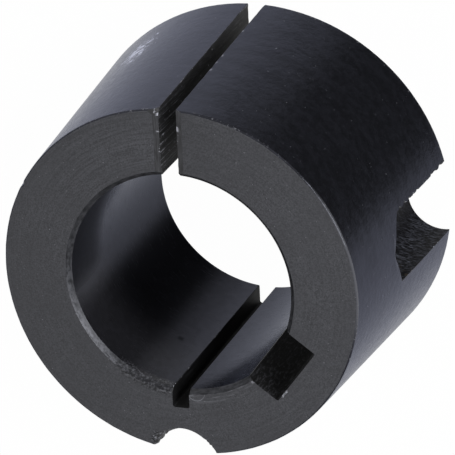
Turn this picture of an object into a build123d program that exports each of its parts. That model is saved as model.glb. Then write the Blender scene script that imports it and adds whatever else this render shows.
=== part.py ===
"""Taper bush, size 1008: a split, keyed locking bush for a 20 mm shaft, turned from one piece.

Millimetres and degrees. +Z is the bore axis. The large end lies on z = 0 and the small end
faces up. One saw cut along Y makes the split, on the +Y side, and the relief slot opposite.
Angles are counted from +X towards +Y, seen from the small end.
"""

from build123d import *
import os
from math import radians, tan

# The turned blank
bush_length = 22.2
large_end_diameter = 35.2
taper_half_angle = 4.0
bore_diameter = 20.0
outer_edge_break = 0.15
small_end_bore_chamfer = 0.45
large_end_bore_chamfer = 0.1

# The saw cut. It goes through the wall on +Y, which splits the bush, and on into the bore's
# far wall, where it leaves the relief slot that lets the bush close on its shaft. The blade
# ran a little to one side of the bore axis and leaned off it.
saw_cut_width = 1.55
saw_cut_offset = -0.22
saw_cut_lean = -0.54
relief_slot_depth = 1.75
relief_slot_corner = 0.2

# The bevel filed along both edges of the split on the small end
split_bevel_width = 0.5
split_bevel_depth = 0.15

# The parallel keyway: its depth is counted from the bore's wall on the keyway's centre line
keyway_angle = -35.9
keyway_width = 6.0
keyway_depth = 2.8
keyway_corner = 0.16

# The screw holes, of which the bush has one half and the hub the other. The clamp holes are
# plain here and threaded in the hub. The jacking hole is the other way round, and its hole in
# the bush follows the crests of its thread.
screw_circle_diameter = 33.74
clamp_hole_angles = (3.0, 183.0)
clamp_hole_diameter = 6.5
clamp_hole_depth = 11.65
drill_point_angle = 118.0
jacking_hole_angle = 269.6
jacking_thread_crest_diameter = 5.84

# How far each cutter runs past the surface that it opens
cutter_overrun = 2.0

large_end_radius = large_end_diameter / 2
bore_radius = bore_diameter / 2
screw_circle_radius = screw_circle_diameter / 2


def outer_radius(height):
    """The tapered outside's radius at a height above the large end."""
    return large_end_radius - height * tan(radians(taper_half_angle))


def turned_blank():
    """The tapered ring as it leaves the lathe, with its edges broken."""
    outline = Polyline(
        (bore_radius + large_end_bore_chamfer, 0),
        (large_end_radius - outer_edge_break, 0),
        (outer_radius(outer_edge_break), outer_edge_break),
        (outer_radius(bush_length - outer_edge_break), bush_length - outer_edge_break),
        (outer_radius(bush_length) - outer_edge_break, bush_length),
        (bore_radius + small_end_bore_chamfer, bush_length),
        (bore_radius, bush_length - small_end_bore_chamfer),
        (bore_radius, large_end_bore_chamfer),
        close=True,
    )
    return revolve(Plane.XZ * make_face(outline), Axis.Z)


def turned_to(angle, cutter):
    """A cutter made along +X, swung to its angle about the bore."""
    return Rot(Z=angle) * cutter


def leaning_with_the_saw(cutter):
    """A cutter made about the plane x = 0, moved to where the blade ran."""
    mid_height = bush_length / 2
    lean = Pos(0, 0, mid_height) * Rot(Y=saw_cut_lean) * Pos(0, 0, -mid_height)
    return Pos(saw_cut_offset, 0, 0) * lean * cutter


def saw_cutter():
    """The blade's path, from the floor of the relief slot out through the split."""
    slot_floor = -(bore_radius + relief_slot_depth)
    outside = large_end_radius + cutter_overrun
    plan = Pos(0, (slot_floor + outside) / 2) * Rectangle(saw_cut_width, outside - slot_floor)
    floor_corners = plan.vertices().group_by(Axis.Y)[0]
    plan = fillet(floor_corners, min(relief_slot_corner, saw_cut_width / 3))
    height = bush_length + 2 * cutter_overrun
    return leaning_with_the_saw(Pos(0, 0, -cutter_overrun) * extrude(plan, amount=height))


def split_bevel_cutter():
    """The file's path along the split's two edges on the small end."""
    bevel_start = bush_length - split_bevel_depth
    edge = saw_cut_width / 2
    bevelled = edge + split_bevel_width
    section = Polyline(
        (-edge, bevel_start),
        (edge, bevel_start),
        (bevelled, bush_length),
        (bevelled, bush_length + cutter_overrun),
        (-bevelled, bush_length + cutter_overrun),
        (-bevelled, bush_length),
        close=True,
    )
    reach = large_end_radius + cutter_overrun
    return leaning_with_the_saw(extrude(Plane.XZ * make_face(section), amount=-reach))


def keyway_cutter():
    """The keyway's full-length path, with a flat floor and a small radius in its corners."""
    floor = bore_radius + keyway_depth
    plan = Pos(floor / 2, 0) * Rectangle(floor, keyway_width)
    floor_corners = plan.vertices().group_by(Axis.X)[-1]
    plan = fillet(floor_corners, min(keyway_corner, keyway_width / 3))
    height = bush_length + 2 * cutter_overrun
    return turned_to(keyway_angle, Pos(0, 0, -cutter_overrun) * extrude(plan, amount=height))


def clamp_hole_cutter(angle):
    """A plain hole drilled from the large end, parallel to the bore, with its drill point."""
    radius = clamp_hole_diameter / 2
    point_length = radius / tan(radians(drill_point_angle / 2))
    outline = Polyline(
        (0, -cutter_overrun),
        (radius, -cutter_overrun),
        (radius, clamp_hole_depth),
        (0, clamp_hole_depth + point_length),
        close=True,
    )
    drill = revolve(Plane.XZ * make_face(outline), Axis.Z)
    return turned_to(angle, Pos(screw_circle_radius, 0, 0) * drill)


def jacking_hole_cutter():
    """The jacking screw's hole as far as its thread's crests, right through the bush."""
    height = bush_length + 2 * cutter_overrun
    hole = Cylinder(jacking_thread_crest_diameter / 2, height)
    return turned_to(jacking_hole_angle, Pos(screw_circle_radius, 0, bush_length / 2) * hole)


def make_taper_bush():
    """The finished bush: the turned ring less its saw cut, keyway and half-holes."""
    bush = turned_blank()
    bush -= saw_cutter()
    bush -= split_bevel_cutter()
    bush -= keyway_cutter()
    for angle in clamp_hole_angles:
        bush -= clamp_hole_cutter(angle)
    bush -= jacking_hole_cutter()
    return bush


os.makedirs("parts", exist_ok=True)
export_step(make_taper_bush(), "parts/taper_bush.step")
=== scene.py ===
"""The looks of the size 1008 taper bush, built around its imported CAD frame.

The bush is one watertight mesh: a stack of C-shaped outlines, one for each height above the
large end. Each outline is worked out from the bush's own sizes, in millimetres and degrees,
so the jacking thread, the torn hole rims, the filed split and the worn edges are real shape.
Angles are counted from +X towards +Y, as in the CAD model.
"""

import math

import bpy
import numpy as np
from mathutils import Matrix, Vector


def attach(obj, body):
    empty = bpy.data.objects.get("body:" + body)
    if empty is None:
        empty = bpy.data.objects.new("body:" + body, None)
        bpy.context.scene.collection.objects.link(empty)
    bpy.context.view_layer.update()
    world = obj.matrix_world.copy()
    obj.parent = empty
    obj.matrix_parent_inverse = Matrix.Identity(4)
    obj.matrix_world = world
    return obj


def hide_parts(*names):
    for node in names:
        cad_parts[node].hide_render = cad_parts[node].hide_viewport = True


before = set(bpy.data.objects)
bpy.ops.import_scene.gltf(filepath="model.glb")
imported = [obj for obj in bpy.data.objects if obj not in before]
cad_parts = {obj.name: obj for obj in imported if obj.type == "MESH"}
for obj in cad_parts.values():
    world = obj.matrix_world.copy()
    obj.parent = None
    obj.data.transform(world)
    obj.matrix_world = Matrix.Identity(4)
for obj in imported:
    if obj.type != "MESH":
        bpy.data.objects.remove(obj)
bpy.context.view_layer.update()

# A millimetre, in the scene's metres
MM = 0.001

# The turned ring
BUSH_LENGTH = 22.2
LARGE_END_RADIUS = 17.6
TAPER_SLOPE = math.tan(math.radians(4.0))
BORE_RADIUS = 10.0
OUTER_EDGE_BREAK = 0.15
SMALL_END_BORE_CHAMFER = 0.45
LARGE_END_BORE_CHAMFER = 0.1

# The saw cut, which makes the split on +Y and the relief slot in the far wall of the bore
SAW_HALF_WIDTH = 0.775
SAW_OFFSET = -0.22
SAW_LEAN = math.tan(math.radians(0.54))
SPLIT_BEVEL_WIDTH = 0.5
SPLIT_BEVEL_DEPTH = 0.15
SPLIT_ANGLE = 90.0
RELIEF_SLOT_ANGLE = -90.0
RELIEF_SLOT_DEPTH = 1.75
RELIEF_SLOT_CORNER = 0.2

# The keyway
KEYWAY_ANGLE = -35.9
KEYWAY_HALF_WIDTH = 3.0
KEYWAY_DEPTH = 2.8
KEYWAY_CORNER = 0.16

# The screws' half-holes. A groove of the thread takes a share of the pitch to either side of its
# middle, and the start is the angle about the hole by which the thread is turned back.
SCREW_CIRCLE_RADIUS = 16.87
CLAMP_HOLE_ANGLES = (183.0, 363.0)
CLAMP_HOLE_RADIUS = 3.25
CLAMP_HOLE_DEPTH = 11.65
DRILL_POINT_SLOPE = math.tan(math.radians(59.0))
JACKING_HOLE_ANGLE = 269.6
THREAD_CREST_RADIUS = 2.92
THREAD_ROOT_RADIUS = 3.175
THREAD_PITCH = 1.27
THREAD_GROOVE_SHARE = 0.25
THREAD_START = 35.0

# Wear and tool marks: angles about the bore, heights above the large end, and X and Y on the
# small end. The torn chamfer has an angle and a width.
NICK_ANGLE = 150.8
NICK_WIDTH = 0.8
NICK_DEPTH = 0.14
TORN_ANGLE = 250.0
TORN_CHAMFER = (268, 34)
TORN_CHAMFER_DEPTH = 0.16
FLAKED_PLACE = (-2.6, -15.1)
RING_SCRATCH_PLACE = (1.1, -10.1)
RING_SCRATCH_RADIUS = 0.8
CLEAR_RINGS_ANGLE = 112
KEYWAY_BURRS = ((9.05, -9.4), (9.2, -9.2), (9.42, -8.95), (6.1, -8.25), (6.4, -8.4))
SPLIT_CHIP_ANGLE = 88.1
SPLIT_CHIP_HEIGHTS = (13.9, 12.5, 11.0, 5.8)
SCUFF_ANGLE = 122.5
SCUFF_HEIGHT = 6.2
PIT_ANGLE = 250.0
PIT_HEIGHT = 13.8

# Wear of the jacking hole's rim on the small end: an angle about the hole, and how wide
RIM_FLAKE = (-52.0, 16.0)
RIM_TEETH = (46.0, 10.0)
RIM_CHIP = (68.0, 14.0)

# Sectors that look different: the angle about the bore, how many degrees to either side of it are
# fully so, and how many degrees it reaches
# A painted sheen: the tool arcs are made light only where the turned small end's highlight falls
TOOL_ARC_SHEEN = (280, 14, 30)
# A painted highlight in light grey on the small end's rim, where it faces the key lamp
RIM_HIGHLIGHT = (14, 14, 32)
# A painted highlight in light grey on the bore's chamfer, where it faces the key lamp
CHAMFER_HIGHLIGHT = (208, 20, 36)
DULL_BORE = (225, 20, 50)
HAZY_BORE = (158, 25, 45)

# How each rim along the outside is broken back: its noise's seed, how deep it is bitten, and how
# long a wave of the bites is
SPLIT_LEFT_RIM = (61, 0.05, 1.3)
SPLIT_RIGHT_RIM = (62, 0.07, 1.1)
CLAMP_LOW_RIM = (63, 0.03, 1.5)
CLAMP_HIGH_RIM = (64, 0.5, 0.45)
JACKING_LEFT_RIM = (65, 0.12, 0.9)
JACKING_RIGHT_RIM = (66, 0.06, 0.9)
HIDDEN_CLAMP_RIMS = (67, 0.06, 1.4)

# What every broken corner loses on both of its sides, about how deep the saw's marks get, and how
# rough the slots' walls are
CORNER_WEAR = 0.04
SAW_MARK_DEPTH = 0.035
SLOT_ROUGHNESS = 0.008

# The smooth noise: how many values it has, where it starts in them, and what three octaves of it
# can add up to
NOISE_VALUES = 4096
NOISE_START = 1000.0
NOISE_REACH = 1.75

# How finely the outlines are divided. A slot has its points on each wall and on its floor.
LEVEL_STEP = 0.16
ARC_POINTS = 27
CLAMP_HOLE_POINTS = 33
JACKING_HOLE_POINTS = 45
SPLIT_WALL_POINTS = 24
BORE_STEP = 1.5
CORNER_POINTS = 4
KEYWAY_POINTS = (7, 14)
RELIEF_SLOT_POINTS = (5, 4)
NICK_FINE_ANGLES = np.linspace(-2, 2, 13)

# How often the angle of a hole's rim is worked out again, and the angle that it starts from
RIM_STEPS = 12
RIM_FIRST_GUESS = 70.0

# Above a drill point's tip a hole's points lie on the taper. Their rims draw apart by this many
# degrees a millimetre, as far up as this, and the other points take this share of the gap.
HEALED_DEGREES = 0.9
HEALED_HEIGHT = 2
HEALED_SHARE = 0.85

# Faces that meet at more than this angle have a sharp edge
SHARP_ANGLE = 32.0

# The darkest and lightest colours of the black metal, and the drilled holes' brown stain
TAPER_SHADES = ((0.026, 0.0268, 0.0325), (0.035, 0.0362, 0.0455))
BORE_SHADES = ((0.022, 0.022, 0.026), (0.03, 0.03, 0.0365))
DRILLED_SHADES = ((0.001, 0.001, 0.002), (0.075, 0.08, 0.1))
STAIN = (0.05, 0.04, 0.028)

# The oxide's bluish tint, where it is seen at a grazing angle
TAPER_TINT = (0.72, 0.745, 0.88)
BORE_TINT = (0.78, 0.8, 0.88)
CHAMFER_TINT = (0.75, 0.77, 0.82)

# The studio: a tent's light, a little brighter on one side, with a dark gap low in another and
# a dimmer patch beside the gap. A patch is its direction, where its edge starts and ends, and
# the share of the light that it leaves. Mirrored rays see the tent brighter than its light, by
# the share of its gloss.
TENT_LEVEL = 0.6
TENT_SLOPE = 0.14
TENT_GLOSS = 0.25
TENT_BRIGHT_SIDE = (145.0, 0.0)
DIM_PATCHES = (((31.0, -55.0), (18.0, 29.5), 0.05), ((80.0, -42.0), (4.0, 24.0), 0.3))

# The floor, in metres. All but a small share of it glows, and that share takes the shadow.
FLOOR_HALF_WIDTH = 2.0
FLOOR_HEIGHT = -0.02 * MM
FLOOR_GLOW_SHARE = 0.985

# The camera and where lamps aim, in metres. The lens and the sensor are in millimetres.
CAMERA_LOCATION = (0.10134, 0.12420, 0.27464)
CAMERA_TARGET = (0.00045, 0.00067, 0.0111)
CAMERA_UP = (-0.10179, 0.91527, -0.38976)
CAMERA_LENS = 277.3
CAMERA_SENSOR = 36
CAMERA_CLIP_START = 0.01
LAMP_TARGET = (0, 0, 0.011)

# The surfaces, each with a finish of its own
FACE, TAPER, BORE, CHAMFER, SPLIT, FILED, SLOT, KEYWAY, DRILLED, THREADED, WORN = range(11)

# What the walls turn into near the small end, and from how far below it
TOP_FINISHES = {BORE: (SMALL_END_BORE_CHAMFER, CHAMFER), SPLIT: (SPLIT_BEVEL_DEPTH, FILED)}


def smooth_noise(position, seed, octaves=3):
    """Repeatable value noise along a line, about -1 to 1, with one wave per unit."""
    total = np.zeros(np.shape(position))
    for octave in range(octaves):
        values = np.random.default_rng(seed + 101 * octave).uniform(-1, 1, NOISE_VALUES)
        place = np.asarray(position) * 2**octave + NOISE_START
        index = np.floor(place).astype(int)
        fraction = place - index
        weight = fraction * fraction * (3 - 2 * fraction)
        low, high = values[index % NOISE_VALUES], values[(index + 1) % NOISE_VALUES]
        total = total + (low + (high - low) * weight) / 2**octave
    return total / NOISE_REACH


def near(value, centre, width):
    """A smooth hill of height 1 at the centre, gone at about two widths."""
    return np.exp(-(((value - centre) / width) ** 2))


def by_small_end(z, reach):
    """1 at the small end, gone at about two reaches below it."""
    return near(BUSH_LENGTH - z, 0, reach)


def polar(radius, azimuth):
    """X and Y of points at a radius and an angle about the bore."""
    return radius * np.cos(np.radians(azimuth)), radius * np.sin(np.radians(azimuth))


def turned(along, across, angle):
    """X and Y of points given along and across a direction from the bore's axis."""
    cosine, sine = math.cos(math.radians(angle)), math.sin(math.radians(angle))
    return along * cosine - across * sine, along * sine + across * cosine


def spread(start, end, count):
    """Evenly spaced values from start to end at each level, ends included."""
    share = np.linspace(0, 1, count)[None, :]
    return start + (end - start) * share


def clamp_hole_tip():
    """The height at which a clamp hole's drill point runs out through the taper."""
    apex = CLAMP_HOLE_DEPTH + CLAMP_HOLE_RADIUS / DRILL_POINT_SLOPE
    stand_off = SCREW_CIRCLE_RADIUS - LARGE_END_RADIUS
    return (apex * DRILL_POINT_SLOPE - stand_off) / (DRILL_POINT_SLOPE + TAPER_SLOPE)


def level_heights():
    """The heights of the outlines, with one at each place where the shape changes."""
    turn = np.radians([0, 30, 60, 90])
    rounding = OUTER_EDGE_BREAK * (1 - np.cos(turn))
    chamfer_start = BUSH_LENGTH - SMALL_END_BORE_CHAMFER
    heights = np.arange(2 * OUTER_EDGE_BREAK, chamfer_start - 0.1, LEVEL_STEP)
    for exact in (CLAMP_HOLE_DEPTH, clamp_hole_tip()):
        heights[np.argmin(np.abs(heights - exact))] = exact
    chamfer = BUSH_LENGTH - SMALL_END_BORE_CHAMFER * np.array([1, 0.6])
    return np.concatenate([rounding, heights, chamfer, BUSH_LENGTH - rounding[::-1]])[:, None]


def rounded_inset(height_from_end, radius):
    """How far a rounded edge of that radius lies inside the sharp one, at a height from it."""
    inside = np.clip(radius - height_from_end, 0, None)
    return radius - np.sqrt(np.clip(radius**2 - inside**2, 0, None))


def edge_radius(azimuth, seed):
    """The worn radius of an outer edge, which differs a little round the bush."""
    return OUTER_EDGE_BREAK * (0.75 + 0.25 * smooth_noise(np.asarray(azimuth) / 2.2, seed))


def outer_radius(z, azimuth):
    """The outside's radius, with its worn edges and the nick in the small end's rim."""
    sharp = LARGE_END_RADIUS - z * TAPER_SLOPE
    top = rounded_inset(BUSH_LENGTH - z, edge_radius(azimuth, 11))
    bottom = rounded_inset(z, edge_radius(azimuth, 12))
    nick = NICK_DEPTH * near(azimuth, NICK_ANGLE, NICK_WIDTH) * by_small_end(z, 0.3)
    return sharp - top - bottom - nick


def bore_radius(z, azimuth):
    """The bore's radius, with its chamfers. The small end's is torn beside the relief slot."""
    azimuth = np.asarray(azimuth)
    torn = near(azimuth % 360, *TORN_CHAMFER) * np.clip(smooth_noise(azimuth / 2.4, 22), 0, None)
    width = SMALL_END_BORE_CHAMFER * (0.94 + 0.05 * smooth_noise(azimuth / 9, 21, 2))
    width = width - TORN_CHAMFER_DEPTH * torn
    share = np.clip(1 - (BUSH_LENGTH - z) / SMALL_END_BORE_CHAMFER, 0, 1)
    return BORE_RADIUS + width * share + rounded_inset(z, LARGE_END_BORE_CHAMFER)


def saw_centre(z):
    """The middle of the saw cut at a height."""
    return SAW_OFFSET - (z - BUSH_LENGTH / 2) * SAW_LEAN


def split_half_width(z):
    """Half the split's width, with the bevel filed on its edges at the small end."""
    into_bevel = np.clip(z - (BUSH_LENGTH - SPLIT_BEVEL_DEPTH), 0, None)
    return SAW_HALF_WIDTH + into_bevel * SPLIT_BEVEL_WIDTH / SPLIT_BEVEL_DEPTH


def thread_radius(z, phi):
    """The jacking hole's radius: right-hand grooves in the crests' circle, and a torn mouth."""
    phase = (z - BUSH_LENGTH) / THREAD_PITCH + (phi + THREAD_START) / 360
    from_groove = np.abs(phase - np.round(phase)) / THREAD_GROOVE_SHARE
    groove = 0.5 + 0.5 * np.cos(np.pi * np.clip(from_groove, 0, 1))
    crest = THREAD_CREST_RADIUS + 0.03 * smooth_noise(z * 2.1 + phi / 17, 31)
    mouth = by_small_end(z, 0.45)
    flaked = near(phi, *RIM_FLAKE) * (0.26 + 0.1 * smooth_noise(phi / 6, 32))
    teeth = near(phi, *RIM_TEETH) * (0.06 + 0.14 * smooth_noise(phi / 3, 34))
    chipped = 0.16 * near(phi, *RIM_CHIP)
    return crest + (THREAD_ROOT_RADIUS - crest) * groove + mouth * (flaked + teeth + chipped)


def clamp_radius(z, phi):
    """The clamp hole's radius: drilled, a little rough, and closing over its drill point."""
    rough = 0.014 * smooth_noise(z * 3.3 + phi / 40, 41) * (z < CLAMP_HOLE_DEPTH)
    point = CLAMP_HOLE_RADIUS - (z - CLAMP_HOLE_DEPTH) * DRILL_POINT_SLOPE
    return np.minimum(CLAMP_HOLE_RADIUS + rough, np.clip(point, 0, None))


def hole_rim(z, radius_of, side):
    """Where a hole's rim meets the taper: its angle about the bore, and about the hole.

    The hole's radius differs with the angle about it, so the angle is found step by step.
    """
    outside = LARGE_END_RADIUS - z * TAPER_SLOPE
    phi = np.full_like(z, RIM_FIRST_GUESS * side)
    for _ in range(RIM_STEPS):
        radius = np.maximum(radius_of(z, phi), np.abs(SCREW_CIRCLE_RADIUS - outside) + 1e-4)
        cosine = SCREW_CIRCLE_RADIUS**2 + radius**2 - outside**2
        cosine = cosine / (2 * SCREW_CIRCLE_RADIUS * radius)
        phi = side * np.degrees(np.arccos(np.clip(cosine, -1, 1)))
    cosine = SCREW_CIRCLE_RADIUS**2 + outside**2 - radius**2
    cosine = cosine / (2 * SCREW_CIRCLE_RADIUS * outside)
    return side * np.degrees(np.arccos(np.clip(cosine, -1, 1))), phi


def rim_wear(z, seed, depth, wave):
    """How far a rim is broken back along its length: a little all over, and in bites."""
    bites = np.clip(smooth_noise(z / wave, seed) - 0.05, 0, None)
    return 0.03 + depth * bites + 0.15 * depth * smooth_noise(z / 0.3, seed + 7, 1) ** 2


def hole_notch(z, angle, radius_of, count, wear, tip=BUSH_LENGTH):
    """A half-hole's wall, and the angles at which the taper meets it on its two sides.

    Above the tip of a drill point the hole is gone, and there its points lie on the taper.
    """
    past_tip = np.clip(z - tip, 0, HEALED_HEIGHT)
    edges, limits = [], []
    for side, broken in zip((-1, 1), wear):
        about_bore, phi = hole_rim(z, radius_of, side)
        broken = np.where(past_tip > 0, 0.02 + 0.25 * past_tip, broken)
        back = np.degrees(broken / LARGE_END_RADIUS) + HEALED_DEGREES * past_tip
        edges.append(angle + (about_bore + side * back))
        limits.append(phi - side * np.degrees(broken / CLAMP_HOLE_RADIUS))
    phi = spread(limits[0], limits[1], count)
    radius = radius_of(z, phi)
    along = SCREW_CIRCLE_RADIUS - radius * np.cos(np.radians(phi))
    x, y = turned(along, radius * np.sin(np.radians(phi)), angle)
    on_taper = angle + HEALED_SHARE * (spread(edges[0], edges[1], count) - angle)
    taper_x, taper_y = polar(outer_radius(z, on_taper), on_taper)
    x = np.where(past_tip > 0, taper_x, x)
    y = np.where(past_tip > 0, taper_y, y)
    return (x, y), edges


def split_edge(z, side, broken):
    """The angle at which the taper ends beside the split, broken back by that much."""
    x = saw_centre(z) + side * (split_half_width(z) + broken)
    return SPLIT_ANGLE - np.degrees(np.arcsin(x / outer_radius(z, SPLIT_ANGLE)))


def split_wall(z, side, broken):
    """One sawn wall of the split with its saw marks, from the bore out."""
    x = saw_centre(z) + side * split_half_width(z)
    outside = np.sqrt(outer_radius(z, SPLIT_ANGLE) ** 2 - x**2) - broken
    inside = np.sqrt(bore_radius(z, SPLIT_ANGLE) ** 2 - x**2) + CORNER_WEAR
    y = spread(inside, outside, SPLIT_WALL_POINTS)
    marks = np.random.default_rng(51 + side).uniform(0, SAW_MARK_DEPTH, (1, SPLIT_WALL_POINTS))
    marks[0, [0, -1]] = 0
    return x + side * marks * (1 + 0.5 * smooth_noise(z / 3.0, 53)), y


def bore_corner(z, angle, offset):
    """The angle at which a flat wall, offset from a radial plane, leaves the bore."""
    broken = offset + np.sign(offset) * CORNER_WEAR
    return angle + np.degrees(np.arcsin(broken / bore_radius(z, angle)))


def slot_half(start, half_width, floor, corner, wall_points):
    """Half of a slot's outline, from the bore to its floor: the distance out, and across."""
    turn = np.radians(np.linspace(0, 90, CORNER_POINTS))[None, :] + 0 * start
    wall = spread(start, floor - corner, wall_points)[:, :-1]
    along = np.concatenate([wall, floor - corner + corner * np.sin(turn)], axis=1)
    rounding = half_width - corner + corner * np.cos(turn)
    across = np.concatenate([half_width + 0 * wall, rounding], axis=1)
    return along, across


def bore_slot(z, angle, middle, size, corner, counts, seed):
    """A slot in the bore's wall, walked clockwise: one wall, the floor and the other wall."""
    half_width, depth = size
    wall_points, floor_points = counts
    floor = BORE_RADIUS + depth
    halves = []
    for side in (1, -1):
        offset = middle + side * half_width
        start = np.sqrt(bore_radius(z, angle) ** 2 - offset**2) + CORNER_WEAR
        along, across = slot_half(start, half_width, floor, corner, wall_points)
        halves.append((along, middle + side * across))
    (along, across), (back_along, back_across) = halves
    flat = spread(across[:, -1:], back_across[:, -1:], floor_points)[:, 1:-1]
    along = np.concatenate([along, floor + 0 * flat, back_along[:, ::-1]], axis=1)
    across = np.concatenate([across, flat, back_across[:, ::-1]], axis=1)
    rough = np.random.default_rng(seed).uniform(-SLOT_ROUGHNESS, SLOT_ROUGHNESS, (1, along.shape[1]))
    rough[0, [0, -1]] = 0
    return turned(along + rough, across, angle)


def taper_arc(z, start, end):
    """The outside between two rims, finer at the nick."""
    azimuth = spread(start, end, ARC_POINTS)
    if np.any(start < NICK_ANGLE):
        fine = NICK_ANGLE + NICK_FINE_ANGLES[None, :] + 0 * z
        azimuth = np.sort(np.concatenate([azimuth, fine], axis=1), axis=1)
    return polar(outer_radius(z, azimuth), azimuth)


def bore_arc(z, start, end):
    """The bore's wall between two corners, walked clockwise."""
    count = round(float(np.mean(start - end)) / BORE_STEP)
    azimuth = spread(start, end, count)
    return polar(bore_radius(z, azimuth), azimuth)


def outside_strips(z, split_wear):
    """The taper and its half-holes, from the split's left rim round to its right one."""
    tip = clamp_hole_tip()
    hidden = rim_wear(z, *HIDDEN_CLAMP_RIMS)
    visible = (rim_wear(z, *CLAMP_LOW_RIM), rim_wear(z, *CLAMP_HIGH_RIM))
    jack_left = rim_wear(z, *JACKING_LEFT_RIM) + 0.12 * by_small_end(z, 0.4)
    jack_wear = (jack_left, rim_wear(z, *JACKING_RIGHT_RIM))
    jacking = hole_notch(z, JACKING_HOLE_ANGLE, thread_radius, JACKING_HOLE_POINTS, jack_wear)
    back, front = CLAMP_HOLE_ANGLES
    holes = (
        (hole_notch(z, back, clamp_radius, CLAMP_HOLE_POINTS, (hidden, hidden), tip), DRILLED),
        (jacking, THREADED),
        (hole_notch(z, front, clamp_radius, CLAMP_HOLE_POINTS, visible, tip), DRILLED),
    )
    strips = []
    start = split_edge(z, -1, split_wear[0])
    for (wall, rims), finish in holes:
        strips.append((*taper_arc(z, start, rims[0]), TAPER))
        strips.append((*wall, finish))
        start = rims[1]
    strips.append((*taper_arc(z, start, split_edge(z, 1, split_wear[1]) + 360), TAPER))
    return strips


def inside_strips(z):
    """The bore, the keyway and the relief slot, from the split's right side round to its left."""
    middle = saw_centre(z)
    half = split_half_width(z)
    split_right = bore_corner(z, SPLIT_ANGLE, -(middle + half))
    split_left = bore_corner(z, SPLIT_ANGLE - 360, -(middle - half))
    key = [bore_corner(z, KEYWAY_ANGLE, side * KEYWAY_HALF_WIDTH) for side in (1, -1)]
    slot = [bore_corner(z, RELIEF_SLOT_ANGLE, middle + side * SAW_HALF_WIDTH) for side in (1, -1)]
    key_size = (KEYWAY_HALF_WIDTH, KEYWAY_DEPTH)
    slot_size = (SAW_HALF_WIDTH, RELIEF_SLOT_DEPTH)
    keyway = bore_slot(z, KEYWAY_ANGLE, 0, key_size, KEYWAY_CORNER, KEYWAY_POINTS, 71)
    relief = bore_slot(
        z, RELIEF_SLOT_ANGLE, middle, slot_size, RELIEF_SLOT_CORNER, RELIEF_SLOT_POINTS, 72
    )
    return [
        (*bore_arc(z, split_right, key[0]), BORE),
        (*keyway, KEYWAY),
        (*bore_arc(z, key[1], slot[0]), BORE),
        (*relief, SLOT),
        (*bore_arc(z, slot[1], split_left), BORE),
    ]


def outline_strips(z):
    """Every outline in strips of points, one row a level, each with its finish."""
    left = rim_wear(z, *SPLIT_LEFT_RIM) + 0.4 * by_small_end(z, 0.3)
    right = rim_wear(z, *SPLIT_RIGHT_RIM)
    right_x, right_y = split_wall(z, 1, right)
    right_wall = (right_x[:, ::-1], right_y[:, ::-1], SPLIT)
    left_wall = (*split_wall(z, -1, left), SPLIT)
    return outside_strips(z, (left, right)) + [right_wall] + inside_strips(z) + [left_wall]


def face_finishes(strips, z):
    """The finish of each face between two levels. A strip's last column joins it to the next."""
    middle = (z[1:, 0] + z[:-1, 0]) / 2
    above_tip = middle > clamp_hole_tip()
    columns = []
    for (x, _, finish), (_, _, following) in zip(strips, strips[1:] + strips[:1]):
        faces = np.full((len(middle), x.shape[1]), finish)
        if finish in TOP_FINISHES:
            depth, top_finish = TOP_FINISHES[finish]
            faces[middle > BUSH_LENGTH - depth] = top_finish
        faces[:, -1] = WORN
        if finish == DRILLED:
            faces[above_tip] = TAPER
        if following == DRILLED:
            faces[above_tip, -1] = TAPER
        columns.append(faces)
    return np.concatenate(columns, axis=1)


def outline_faces(levels, columns):
    """The faces between each outline and the next, and the two flat ends."""
    low = np.arange(levels - 1)[:, None] * columns
    this = np.arange(columns)[None, :]
    following = (this + 1) % columns
    corners = (low + this, low + following, low + columns + following, low + columns + this)
    small_end = list(range((levels - 1) * columns, levels * columns))
    large_end = list(range(columns - 1, -1, -1))
    return np.stack(corners, axis=-1).reshape(-1, 4).tolist() + [small_end, large_end]


def bush_mesh():
    """The bush as one closed mesh, with a finish on every face."""
    z = level_heights()
    strips = outline_strips(z)
    x = np.concatenate([strip[0] for strip in strips], axis=1)
    y = np.concatenate([strip[1] for strip in strips], axis=1)
    points = np.stack([x, y, z + 0 * x], axis=-1).reshape(-1, 3) * MM
    faces = outline_faces(*x.shape)
    finish = np.append(face_finishes(strips, z).reshape(-1), [FACE, FACE])
    mesh = bpy.data.meshes.new("taper_bush_dressed")
    mesh.from_pydata(points.tolist(), [], faces)
    mesh.polygons.foreach_set("material_index", finish.astype(np.int32))
    mesh.polygons.foreach_set("use_smooth", finish != FACE)
    mesh.set_sharp_from_angle(angle=math.radians(SHARP_ANGLE))
    mesh.validate()
    return mesh


def put(tree, value, target):
    """Gives a socket its value: a link from another socket, or a constant."""
    if isinstance(value, bpy.types.NodeSocket):
        tree.links.new(value, target)
    else:
        target.default_value = value


def math_node(tree, operation, *values):
    """The result of a math node on sockets and constants."""
    node = tree.nodes.new("ShaderNodeMath")
    node.operation = operation
    for value, socket in zip(values, node.inputs):
        put(tree, value, socket)
    return node.outputs[0]


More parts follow.
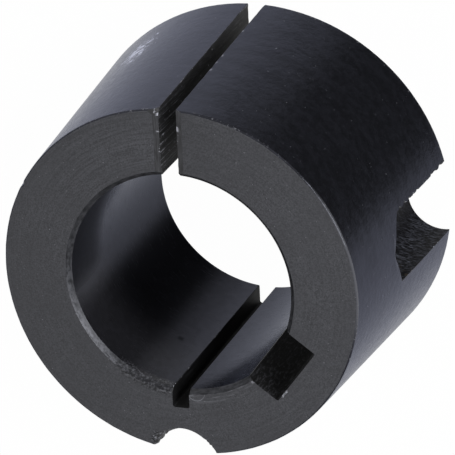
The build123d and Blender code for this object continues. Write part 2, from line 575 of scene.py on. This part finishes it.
class Finish:
    """A procedural material, worked out in millimetres from the object's own coordinates."""

    def __init__(self, name):
        self.material = bpy.data.materials.new(name)
        self.material.use_nodes = True
        self.tree = self.material.node_tree
        self.shader = self.tree.nodes["Principled BSDF"]
        place = self.add("ShaderNodeTexCoord").outputs["Object"]
        self.place = self.vector("MULTIPLY", place, (1 / MM, 1 / MM, 1 / MM))
        parts = self.add("ShaderNodeSeparateXYZ")
        self.join(self.place, parts.inputs[0])
        self.x, self.y, self.z = parts.outputs
        squares = self.math("ADD", self.math("POWER", self.x, 2.0), self.math("POWER", self.y, 2.0))
        self.radius = self.math("SQRT", squares)
        self.azimuth = self.math("MULTIPLY", self.math("ARCTAN2", self.y, self.x), 180 / math.pi)

    def add(self, kind, **settings):
        """A new node of a kind, with its settings."""
        node = self.tree.nodes.new(kind)
        for name, value in settings.items():
            setattr(node, name, value)
        return node

    def join(self, source, target):
        """Links one socket to another."""
        self.tree.links.new(source, target)

    def put(self, value, target):
        """Gives a socket of this material its value."""
        put(self.tree, value, target)

    def math(self, operation, *values):
        """The result of a math node."""
        return math_node(self.tree, operation, *values)

    def vector(self, operation, first, second):
        """The result of a vector math node."""
        node = self.add("ShaderNodeVectorMath", operation=operation)
        self.put(first, node.inputs[0])
        self.put(second, node.inputs[1])
        return node.outputs[0]

    def across(self, angle):
        """The distance from the plane through the axis at an angle."""
        turn = math.radians(angle)
        from_y = self.math("MULTIPLY", self.y, math.cos(turn))
        return self.math("MULTIPLY_ADD", self.x, -math.sin(turn), from_y)

    def distance(self, x, y):
        """The distance from an upright line at X and Y."""
        across = self.math("POWER", self.math("SUBTRACT", self.x, x), 2.0)
        along = self.math("POWER", self.math("SUBTRACT", self.y, y), 2.0)
        return self.math("SQRT", self.math("ADD", across, along))

    def away(self, angle):
        """The angle about the bore from a given one, up to 180 degrees."""
        turned_back = self.math("SUBTRACT", self.azimuth, angle)
        return self.math("ABSOLUTE", self.math("WRAP", turned_back, 180.0, -180.0))

    def noise(self, place, scale=1.0, detail=3.0, roughness=0.6):
        """Smooth noise at a place, mostly between 0.3 and 0.7."""
        node = self.add("ShaderNodeTexNoise")
        self.join(place, node.inputs["Vector"])
        node.inputs["Scale"].default_value = scale
        node.inputs["Detail"].default_value = detail
        node.inputs["Roughness"].default_value = roughness
        return node.outputs["Fac"]

    def streaks(self, lengths, scales, detail=3.0, roughness=0.6):
        """Noise at a place made of three lengths, each stretched by its own scale."""
        node = self.add("ShaderNodeCombineXYZ")
        for length, scale, socket in zip(lengths, scales, node.inputs):
            self.put(self.math("MULTIPLY", length, scale), socket)
        return self.noise(node.outputs[0], 1.0, detail, roughness)

    def ramp(self, value, low, high, out_low=0.0, out_high=1.0):
        """A smooth step from one number to another while a value goes from low to high."""
        node = self.add("ShaderNodeMapRange", interpolation_type="SMOOTHSTEP")
        for number, socket in zip((value, low, high, out_low, out_high), node.inputs):
            self.put(number, socket)
        return node.outputs["Result"]

    def hill(self, value, centre, flat, reach):
        """1 within the flat distance of a centre, falling to 0 at the reach."""
        distance = self.math("ABSOLUTE", self.math("SUBTRACT", value, centre))
        return self.ramp(distance, flat, reach, 1.0, 0.0)

    def sector(self, angle, flat, reach):
        """1 near an angle about the bore, falling to 0 at the reach in degrees."""
        return self.ramp(self.away(angle), flat, reach, 1.0, 0.0)

    def product(self, *shares):
        """All the shares multiplied together."""
        total = shares[0]
        for share in shares[1:]:
            total = self.math("MULTIPLY", total, share)
        return total

    def specks(self, scale, threshold):
        """Small scattered flakes: the few places where a fine noise is high."""
        return self.ramp(self.noise(self.place, scale, 2.0, 0.5), threshold, threshold + 0.05)

    def colour(self, share, first, second):
        """One colour turning into another by a share."""
        node = self.add("ShaderNodeMix", data_type="RGBA")
        self.put(share, node.inputs[0])
        for value, socket in ((first, node.inputs[6]), (second, node.inputs[7])):
            self.put(value if isinstance(value, bpy.types.NodeSocket) else (*value, 1), socket)
        return node.outputs[2]

    def torn(self, where, shade, light):
        """A colour with dark and light flakes in it, where a share says that metal tore."""
        flakes = self.noise(self.place, 4.5, 3.0, 0.7)
        dark = self.product(where, self.ramp(flakes, 0.44, 0.5, 1.0, 0.0))
        bright = self.product(where, self.ramp(flakes, 0.56, 0.64))
        return self.colour(bright, self.colour(dark, shade, grey(0.01)), grey(light))

    def bump(self, height, distance, strength=1.0):
        """Fine relief from a height, up to a distance in millimetres."""
        node = self.add("ShaderNodeBump")
        node.inputs["Strength"].default_value = strength
        node.inputs["Distance"].default_value = distance * MM
        self.join(height, node.inputs["Height"])
        self.join(node.outputs["Normal"], self.shader.inputs["Normal"])

    def set(self, **values):
        """Sets the shader's sockets, which are named with an underscore for each space."""
        for name, value in values.items():
            socket = self.shader.inputs[name.replace("_", " ")]
            if isinstance(value, tuple):
                value = (*value, 1)
            self.put(value, socket)


def grey(level):
    """The black oxide's slightly blue grey at a level."""
    return (level, level * 1.02, level * 1.15)


def tool_arc_sheen(finish, shade, small_end):
    """Arcs that the tool left on the small end, round the bore opposite the split, painted light as the
    turned face's sheen there.
    """
    arcs = finish.streaks((finish.radius, finish.azimuth, finish.z), (7.0, 0.07, 0.1))
    by_bore = finish.product(small_end, finish.ramp(finish.radius, 10.6, 11.5, 1.0, 0.0))
    arcs = finish.product(finish.ramp(arcs, 0.54, 0.62), by_bore, finish.sector(*TOOL_ARC_SHEEN))
    return finish.colour(arcs, shade, grey(0.11))


def face_tears(finish, shade, small_end):
    """Torn metal on the small end, beside the relief slot and at the jacking hole's flake."""
    by_bore = finish.ramp(finish.radius, 10.5, 11.1, 1.0, 0.0)
    by_slot = finish.product(small_end, by_bore, finish.sector(TORN_ANGLE, 10, 20))
    shade = finish.torn(by_slot, shade, 0.09)
    by_thread = finish.ramp(finish.distance(*FLAKED_PLACE), 0.5, 0.95, small_end, 0.0)
    return finish.torn(by_thread, shade, 0.25)


def face_marks(finish, shade, small_end, grain):
    """The burrs beside the keyway and the ring scratch beside the relief slot."""
    for place in KEYWAY_BURRS:
        burr = finish.ramp(finish.distance(*place), 0.06, 0.2, small_end, 0.0)
        shade = finish.colour(finish.product(burr, finish.ramp(grain, 0.42, 0.52)), shade, grey(0.3))
    ring = finish.hill(finish.distance(*RING_SCRATCH_PLACE), RING_SCRATCH_RADIUS, 0.02, 0.06)
    ring = finish.product(ring, small_end, finish.ramp(finish.y, -10.8, -10.5, 0.7, 0.4))
    return finish.colour(ring, shade, grey(0.17))


def face_finish():
    """The turned ends: a dull grey grain with fine tool rings, clearest beside the split."""
    finish = Finish("turned_end")
    rings = finish.streaks((finish.radius, finish.azimuth, finish.z), (7.0, 0.06, 0.1), 4.0, 0.75)
    grain = finish.noise(finish.place, 8.0, 3.0, 0.7)
    cloud = finish.noise(finish.place, 0.35, 2.0, 0.5)
    by_split = finish.ramp(finish.away(CLEAR_RINGS_ANGLE), 14, 40, 0.85, 0.35)
    tone = finish.math("ADD", finish.product(finish.math("SUBTRACT", rings, 0.5), by_split), grain)
    shade = finish.colour(finish.ramp(tone, 0.3, 0.72), grey(0.031), grey(0.068))
    shade = finish.colour(finish.ramp(cloud, 0.35, 0.65, 0.0, 0.35), shade, grey(0.041))
    small_end = finish.ramp(finish.z, 1.0, 2.0)
    # The tool arcs, painted light as the face's sheen in one sector
    shade = tool_arc_sheen(finish, shade, small_end)
    shade = face_tears(finish, shade, small_end)
    shade = face_marks(finish, shade, small_end, grain)
    shade = finish.colour(finish.specks(5.0, 0.7), shade, grey(0.16))
    finish.set(Base_Color=shade, Roughness=finish.ramp(grain, 0.3, 0.7, 0.42, 0.58))
    finish.set(Specular_IOR_Level=0.25)
    finish.bump(finish.math("ADD", rings, grain), 0.006, 0.6)
    return finish.material


def taper_highlight_and_flecks(finish):
    """Two shares of the taper: a painted highlight on its small end's rim where it faces the key lamp, and
    where light flecks lie.
    """
    top_rim = finish.ramp(finish.z, BUSH_LENGTH - 0.35, BUSH_LENGTH - 0.15)
    # A painted highlight: the rim is made light grey, and not metal, on the side that faces the key lamp
    painted_highlight = finish.product(top_rim, finish.sector(*RIM_HIGHLIGHT), 0.8)
    rims = finish.math("MAXIMUM", top_rim, finish.ramp(finish.z, 0.2, 0.5, 1.0, 0.0))
    flecks = finish.product(rims, finish.ramp(finish.noise(finish.place, 4.0, 3.0, 0.6), 0.59, 0.65))
    return painted_highlight, finish.math("MAXIMUM", flecks, finish.specks(3.6, 0.735))


def taper_scuff(finish, shade, around, mottle, grit):
    """The scuff beside the split: light scratches round the taper, in a haze of fine grains."""
    patch = finish.hill(finish.z, SCUFF_HEIGHT, 0.0, 6.0)
    patch = finish.product(finish.sector(SCUFF_ANGLE, 0.0, 9.0), patch)
    scratches = finish.streaks((finish.z, around, finish.radius), (5.0, 1.3, 0.0), 3.0, 0.8)
    scuff = finish.math("MULTIPLY_ADD", patch, 0.3, finish.product(mottle, 0.6))
    scuff = finish.math("ADD", scuff, scratches)
    shade = finish.colour(finish.ramp(scuff, 1.04, 1.12), shade, grey(0.75))
    grains = finish.product(finish.ramp(grit, 0.52, 0.62), finish.ramp(patch, 0.1, 0.6, 0.0, 0.45))
    return finish.colour(grains, shade, grey(0.35))


def split_chips(finish, shade, grit):
    """The light chips along the split's edge on the taper."""
    by_edge = finish.product(finish.sector(SPLIT_CHIP_ANGLE, 0.2, 0.9), finish.ramp(grit, 0.43, 0.55))
    for height in SPLIT_CHIP_HEIGHTS:
        chip = finish.product(by_edge, finish.hill(finish.z, height, 0.05, 0.3))
        shade = finish.colour(chip, shade, grey(0.3))
    return shade


def taper_finish():
    """The ground taper: black, bluish in its sheen, flecked at its rims, with a painted highlight on the
    small end's rim, scuffed by the split.
    """
    finish = Finish("ground_taper")
    around = finish.math("MULTIPLY", finish.azimuth, 0.3)
    lines = finish.streaks((finish.z, around, finish.radius), (6.0, 0.5, 0.0), 4.0, 0.7)
    mottle = finish.noise(finish.place, 1.6, 4.0, 0.7)
    grit = finish.noise(finish.place, 5.0, 3.0, 0.7)
    slanted = finish.math("ADD", around, finish.z)
    wiped = finish.streaks((finish.z, slanted, finish.radius), (0.7, 0.2, 0.0), 3.0)
    tone = finish.math("ADD", finish.product(mottle, 0.5), finish.product(wiped, 0.5))
    shade = finish.colour(finish.ramp(tone, 0.41, 0.59), *TAPER_SHADES)
    painted_highlight, dust = taper_highlight_and_flecks(finish)
    # The painted highlight on the rim, then the light flecks and specks
    shade = finish.colour(painted_highlight, shade, grey(0.09))
    shade = finish.colour(dust, shade, grey(0.09))
    shade = taper_scuff(finish, shade, around, mottle, grit)
    shade = split_chips(finish, shade, grit)
    finish.set(Base_Color=shade, Roughness=finish.ramp(mottle, 0.3, 0.7, 0.2, 0.27))
    # Not metal where the painted highlight and the flecks are
    finish.set(Metallic=finish.math("MULTIPLY_ADD", finish.math("MAXIMUM", painted_highlight, dust), -0.8, 0.8))
    finish.set(Specular_Tint=TAPER_TINT, Specular_IOR_Level=0.3)
    finish.bump(finish.math("MULTIPLY_ADD", mottle, 25.0, lines), 0.0022, 0.5)
    return finish.material


def bore_finish():
    """The reamed bore: black, duller in two places, with faint rings, dents and a torn mouth."""
    finish = Finish("reamed_bore")
    around = finish.math("MULTIPLY", finish.azimuth, 0.17)
    lines = finish.streaks((finish.z, around, finish.radius), (5.0, 0.6, 0.0), 4.0, 0.7)
    mottle = finish.noise(finish.place, 1.6, 3.0, 0.6)
    shade = finish.colour(finish.ramp(mottle, 0.3, 0.7), *BORE_SHADES)
    # Painted shade: the dents and the pit are made near black for the shade in their hollows, on top of
    # their bump
    pit = finish.product(finish.hill(finish.z, PIT_HEIGHT, 0.15, 0.45), finish.sector(PIT_ANGLE, 0.9, 2.2))
    dents = finish.math("MAXIMUM", finish.specks(1.9, 0.72), pit)
    shade = finish.colour(dents, shade, grey(0.002))
    mouth = finish.ramp(finish.z, BUSH_LENGTH - 1.7, BUSH_LENGTH - 0.6)
    by_slot = finish.product(mouth, finish.sector(TORN_ANGLE - 2, 10, 20))
    shade = finish.torn(by_slot, shade, 0.09)
    dull = finish.product(finish.ramp(finish.z, 11.0, 19.0, 0.0, 0.42), finish.sector(*DULL_BORE))
    hazy = finish.product(finish.ramp(finish.z, 11.0, 18.0, 0.0, 0.5), finish.sector(*HAZY_BORE))
    smooth = finish.ramp(lines, 0.3, 0.7, 0.2, 0.28)
    finish.set(Base_Color=shade, Roughness=finish.math("MAXIMUM", smooth, hazy))
    finish.set(Metallic=finish.math("SUBTRACT", 1.0, finish.math("MAXIMUM", by_slot, dull)))
    finish.set(Specular_Tint=BORE_TINT, Specular_IOR_Level=0.25)
    finish.bump(finish.math("SUBTRACT", lines, dents), 0.0055, 0.5)
    return finish.material


def chamfer_finish():
    """The bore's chamfer: a painted highlight in light grey on the side that faces the key lamp, and
    flaked beside the relief slot.
    """
    finish = Finish("chamfer_painted_highlight")
    around = finish.math("MULTIPLY", finish.azimuth, 0.18)
    grain = finish.streaks((finish.radius, around, finish.z), (5.0, 1.6, 3.0), 4.0, 0.7)
    outer = finish.ramp(finish.radius, BORE_RADIUS + 0.1, BORE_RADIUS + 0.28)
    # A painted highlight on the side of the chamfer that faces the key lamp, broken up by its grain
    painted_highlight = finish.product(finish.sector(*CHAMFER_HIGHLIGHT), outer, finish.ramp(grain, 0.38, 0.6))
    shade = finish.colour(finish.ramp(grain, 0.35, 0.65), grey(0.02), grey(0.06))
    shade = finish.colour(finish.product(painted_highlight, 0.8), shade, grey(0.085))
    shade = finish.torn(finish.product(finish.sector(TORN_ANGLE, 12, 24), 0.7), shade, 0.1)
    finish.set(Base_Color=shade, Roughness=finish.ramp(grain, 0.3, 0.7, 0.35, 0.5))
    finish.set(Metallic=0.5, Specular_Tint=CHAMFER_TINT, Specular_IOR_Level=0.4)
    finish.bump(grain, 0.03, 0.8)
    return finish.material


def split_finish():
    """The split's sawn walls: near black, with thin light scratches along the bush."""
    finish = Finish("sawn_split")
    lines = finish.streaks((finish.y, finish.z, finish.x), (3.4, 0.04, 0.0), 2.0, 0.6)
    fine = finish.streaks((finish.y, finish.z, finish.x), (9.0, 1.2, 0.0), 4.0, 0.8)
    low_end = finish.ramp(finish.z, 1.5, 8.0, 0.5, 0.0)
    ends = finish.math("ADD", low_end, finish.ramp(finish.z, 14.5, 18.5))
    bright = finish.product(finish.hill(lines, 0.55, 0.006, 0.022), finish.ramp(fine, 0.38, 0.54), ends)
    shade = finish.colour(finish.ramp(fine, 0.48, 0.68), grey(0.002), grey(0.035))
    shade = finish.colour(bright, shade, grey(0.2))
    shade = finish.colour(finish.specks(3.0, 0.7), shade, grey(0.3))
    finish.set(Base_Color=shade, Roughness=0.55, Specular_IOR_Level=0.25)
    finish.bump(finish.math("ADD", fine, lines), 0.02, 0.8)
    return finish.material


def filed_finish():
    """The bevel filed on the split's edges, with bright burrs on its inner side."""
    finish = Finish("filed_bevel")
    strokes = finish.streaks((finish.x, finish.y, finish.z), (9.0, 0.8, 0.0), 3.0, 0.7)
    shade = finish.colour(finish.ramp(strokes, 0.35, 0.7), grey(0.016), grey(0.045))
    inner = finish.ramp(finish.z, BUSH_LENGTH - 0.14, BUSH_LENGTH - 0.06, 1.0, 0.0)
    burrs = finish.ramp(finish.streaks((finish.y, finish.x, finish.z), (1.3, 0.4, 0.0)), 0.58, 0.66)
    shade = finish.colour(finish.product(inner, burrs), shade, grey(0.4))
    finish.set(Base_Color=shade, Roughness=0.5, Specular_IOR_Level=0.35)
    finish.bump(strokes, 0.01, 0.7)
    return finish.material


def slot_finish():
    """The relief slot: as the saw left it, black with oxide, with a few fine scratches."""
    finish = Finish("sawn_slot")
    streaks = finish.streaks((finish.y, finish.z, finish.x), (6.0, 0.3, 3.0), 3.0, 0.7)
    shade = finish.colour(finish.ramp(streaks, 0.5, 0.75), grey(0.004), grey(0.02))
    finish.set(Base_Color=shade, Roughness=0.6, Specular_IOR_Level=0.25)
    finish.bump(streaks, 0.015, 0.8)
    return finish.material


def keyway_finish():
    """The keyway: broached along the bush and blackened, with chatter on its walls."""
    finish = Finish("broached_keyway")
    lengths = (finish.across(KEYWAY_ANGLE), finish.z, finish.radius)
    streaks = finish.streaks(lengths, (5.0, 1.2, 5.0), 4.0, 0.7)
    shade = finish.colour(finish.ramp(streaks, 0.48, 0.66), grey(0.0025), grey(0.038))
    finish.set(Base_Color=shade, Roughness=0.6, Specular_IOR_Level=0.15)
    finish.bump(streaks, 0.02, 0.8)
    return finish.material


def drilled_finish():
    """The drilled half-holes: dark, a little brown, with the drill's fine broken strokes, dimmed towards
    the back of the hole as painted shade.
    """
    finish = Finish("drilled_hole")
    slanted = finish.math("MULTIPLY_ADD", finish.y, -1.3, finish.z)
    strokes = finish.streaks((slanted, finish.y, finish.x), (8.0, 1.8, 1.8), 3.0, 0.75)
    patches = finish.noise(finish.place, 1.4, 3.0, 0.6)
    # Painted shade: the strokes fade towards the back of the half-hole, far from the taper
    painted_shade_by_depth = finish.ramp(finish.radius, 13.8, 15.3, 0.4, 1.0)
    level = finish.product(finish.ramp(patches, 0.35, 0.65, 0.45, 1.0), painted_shade_by_depth)
    bright = finish.product(finish.ramp(strokes, 0.48, 0.62), level)
    shade = finish.colour(bright, *DRILLED_SHADES)
    stain = finish.product(finish.specks(2.2, 0.58), finish.ramp(finish.z, 7.0, 11.0))
    shade = finish.colour(finish.product(stain, 0.6), shade, STAIN)
    finish.set(Base_Color=shade, Roughness=0.6, Specular_IOR_Level=0.1)
    finish.bump(strokes, 0.015, 0.7)
    return finish.material


def thread_finish():
    """The jacking thread: dark, with fine rings, and torn where its rim is flaked."""
    finish = Finish("cut_thread")
    rings = finish.streaks((finish.z, finish.y, finish.x), (5.0, 0.8, 0.8), 3.0, 0.65)
    shade = finish.colour(finish.ramp(rings, 0.45, 0.65), grey(0.012), grey(0.06))
    mouth = finish.ramp(finish.z, BUSH_LENGTH - 0.9, BUSH_LENGTH - 0.3)
    by_rim = finish.product(mouth, finish.ramp(finish.x, -1.9, -1.3, 1.0, 0.0))
    shade = finish.torn(by_rim, shade, 0.25)
    finish.set(Base_Color=shade, Roughness=0.5, Specular_IOR_Level=0.35)
    finish.bump(rings, 0.015, 0.8)
    return finish.material


def worn_finish():
    """The broken corners, where handling has rubbed through the black in places."""
    finish = Finish("worn_edge")
    patches = finish.noise(finish.place, 2.2, 3.0, 0.6)
    shade = finish.colour(finish.ramp(patches, 0.57, 0.68), grey(0.018), grey(0.28))
    finish.set(Base_Color=shade, Roughness=0.45, Specular_IOR_Level=0.4)
    return finish.material


def make_bush():
    """The dressed bush, standing for the CAD node. Its materials are in the surfaces' order."""
    bush = bpy.data.objects.new("bush", bush_mesh())
    bpy.context.scene.collection.objects.link(bush)
    for make_finish in (
        face_finish,
        taper_finish,
        bore_finish,
        chamfer_finish,
        split_finish,
        filed_finish,
        slot_finish,
        keyway_finish,
        drilled_finish,
        thread_finish,
        worn_finish,
    ):
        bush.data.materials.append(make_finish())
    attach(bush, "root")
    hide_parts("taper_bush")


def mix_shaders(tree, share, first, second):
    """One shader turning into another by a share."""
    mix = tree.nodes.new("ShaderNodeMixShader")
    for value, socket in zip((share, first, second), mix.inputs):
        put(tree, value, socket)
    return mix.outputs[0]


def background_rays(tree):
    """1 for the rays that show the background as it is: the camera's, and those through glass."""
    rays = tree.nodes.new("ShaderNodeLightPath").outputs
    return math_node(tree, "MAXIMUM", rays["Is Camera Ray"], rays["Is Transmission Ray"])


def floor_material():
    """White to the eye from above, with the bush's faint shadow. All other light passes it."""
    material = bpy.data.materials.new("white_floor")
    material.use_nodes = True
    tree = material.node_tree
    tree.nodes.clear()
    paint = tree.nodes.new("ShaderNodeBsdfDiffuse")
    paint.inputs["Color"].default_value = (0.8, 0.8, 0.8, 1)
    glow = tree.nodes.new("ShaderNodeEmission")
    plain = mix_shaders(tree, FLOOR_GLOW_SHARE, paint.outputs[0], glow.outputs[0])
    side = tree.nodes.new("ShaderNodeNewGeometry")
    from_above = math_node(tree, "GREATER_THAN", background_rays(tree), side.outputs["Backfacing"])
    through = tree.nodes.new("ShaderNodeBsdfTransparent")
    surface = mix_shaders(tree, from_above, through.outputs[0], plain)
    output = tree.nodes.new("ShaderNodeOutputMaterial")
    tree.links.new(surface, output.inputs[0])
    return material


def make_floor():
    """A plain white floor, a hair under the bush so that it doesn't show through the end."""
    mesh = bpy.data.meshes.new("floor")
    signs = ((-1, -1), (1, -1), (1, 1), (-1, 1))
    corners = [(x * FLOOR_HALF_WIDTH, y * FLOOR_HALF_WIDTH, FLOOR_HEIGHT) for x, y in signs]
    mesh.from_pydata(corners, [], [(0, 1, 2, 3)])
    mesh.materials.append(floor_material())
    floor = bpy.data.objects.new("floor", mesh)
    bpy.context.scene.collection.objects.link(floor)


def aimed(location, target, up):
    """The matrix of a camera or lamp at a place, looking at a target."""
    away = (Vector(location) - Vector(target)).normalized()
    right = Vector(up).cross(away).normalized()
    turned = Matrix((right, away.cross(right), away)).transposed().to_4x4()
    return Matrix.Translation(Vector(location)) @ turned


def direction(azimuth, elevation):
    """The unit vector towards an azimuth and an elevation, in degrees."""
    x, y = polar(math.cos(math.radians(elevation)), azimuth)
    return (float(x), float(y), math.sin(math.radians(elevation)))


def add_softbox(name, toward, distance, size, power):
    """A square area lamp in a direction from the bush, looking at it."""
    data = bpy.data.lights.new(name, "AREA")
    data.shape = "SQUARE"
    data.size = size
    data.energy = power
    lamp = bpy.data.objects.new(name, data)
    bpy.context.scene.collection.objects.link(lamp)
    lamp.matrix_world = aimed(distance * Vector(direction(*toward)), LAMP_TARGET, (0, 0, 1))


def facing(tree, toward):
    """The cosine of the angle between the world's direction and a given one."""
    place = tree.nodes.new("ShaderNodeTexCoord")
    node = tree.nodes.new("ShaderNodeVectorMath")
    node.operation = "DOT_PRODUCT"
    node.inputs[1].default_value = direction(*toward)
    tree.links.new(place.outputs["Generated"], node.inputs[0])
    return node.outputs["Value"]


def dimmed(tree, level, toward, edge, share_left):
    """A light level, lowered in a round patch with a soft edge."""
    patch = tree.nodes.new("ShaderNodeMapRange")
    patch.interpolation_type = "SMOOTHSTEP"
    patch.inputs["From Min"].default_value = math.cos(math.radians(edge[1]))
    patch.inputs["From Max"].default_value = math.cos(math.radians(edge[0]))
    patch.inputs["To Min"].default_value = 1.0
    patch.inputs["To Max"].default_value = share_left
    tree.links.new(facing(tree, toward), patch.inputs["Value"])
    return math_node(tree, "MULTIPLY", level, patch.outputs["Result"])


def make_world():
    """A soft light tent, white to the camera, that is dark where the bush mirrors its gap."""
    world = bpy.data.worlds.new("studio")
    bpy.context.scene.world = world
    world.use_nodes = True
    tree = world.node_tree
    level = math_node(tree, "MULTIPLY_ADD", facing(tree, TENT_BRIGHT_SIDE), TENT_SLOPE, TENT_LEVEL)
    for patch in DIM_PATCHES:
        level = dimmed(tree, level, *patch)
    rays = tree.nodes.new("ShaderNodeLightPath").outputs
    mirrored = math_node(tree, "MULTIPLY_ADD", rays["Is Glossy Ray"], TENT_GLOSS, 1.0)
    level = math_node(tree, "MULTIPLY", level, mirrored)
    level = math_node(tree, "MAXIMUM", level, background_rays(tree))
    tree.links.new(level, tree.nodes["Background"].inputs["Strength"])
    tree.nodes["Background"].inputs["Color"].default_value = (1, 1, 1, 1)


def light_scene():
    """The tent's light, and one softbox beyond the clamp half-hole on +X."""
    make_world()
    add_softbox("key", (20, 30), distance=0.6, size=0.35, power=3.0)


def make_camera():
    """A long lens that looks down on the small end, over the clamp half-hole."""
    data = bpy.data.cameras.new("camera")
    data.lens = CAMERA_LENS
    data.sensor_width = CAMERA_SENSOR
    data.clip_start = CAMERA_CLIP_START
    camera = bpy.data.objects.new("camera", data)
    bpy.context.scene.collection.objects.link(camera)
    camera.matrix_world = aimed(CAMERA_LOCATION, CAMERA_TARGET, CAMERA_UP)
    bpy.context.scene.camera = camera


make_bush()
make_floor()
light_scene()
make_camera()
bpy.context.scene.view_settings.view_transform = "Standard"
